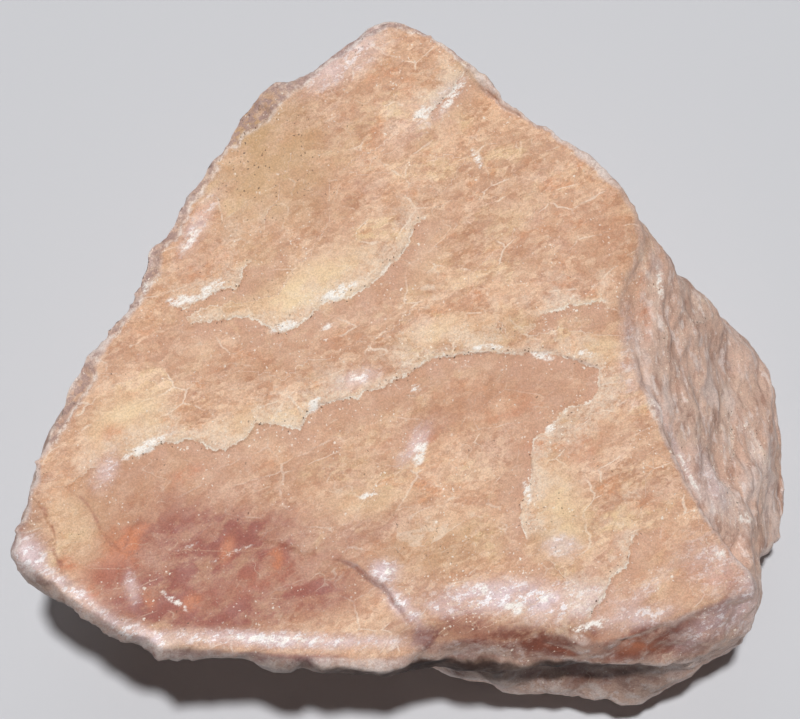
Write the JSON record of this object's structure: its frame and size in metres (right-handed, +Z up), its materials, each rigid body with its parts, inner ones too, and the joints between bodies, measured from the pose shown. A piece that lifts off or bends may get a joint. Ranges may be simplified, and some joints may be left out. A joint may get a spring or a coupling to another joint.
{
  "type": "potassium feldspar specimen",
  "caption": "Broken lump of salmon-pink feldspar with a stepped cleavage face on top, a side lobe and a flat base to rest on.",
  "frame": {"origin": "middle of the bounding box, on the flat face that the stone lies on", "axes": "+X towards the side lobe, along the widest extent; +Y towards the pointed end; +Z up, the lowest extent"},
  "size_m": [0.072, 0.058, 0.0327],
  "materials": {
    "feldspar": "salmon-pink potassium feldspar, dull to pearly, with white cleavage edges and rusty stains"
  },
  "bodies": {
    "root": {"feldspar_specimen": "feldspar"}
  },
  "joints": []
}
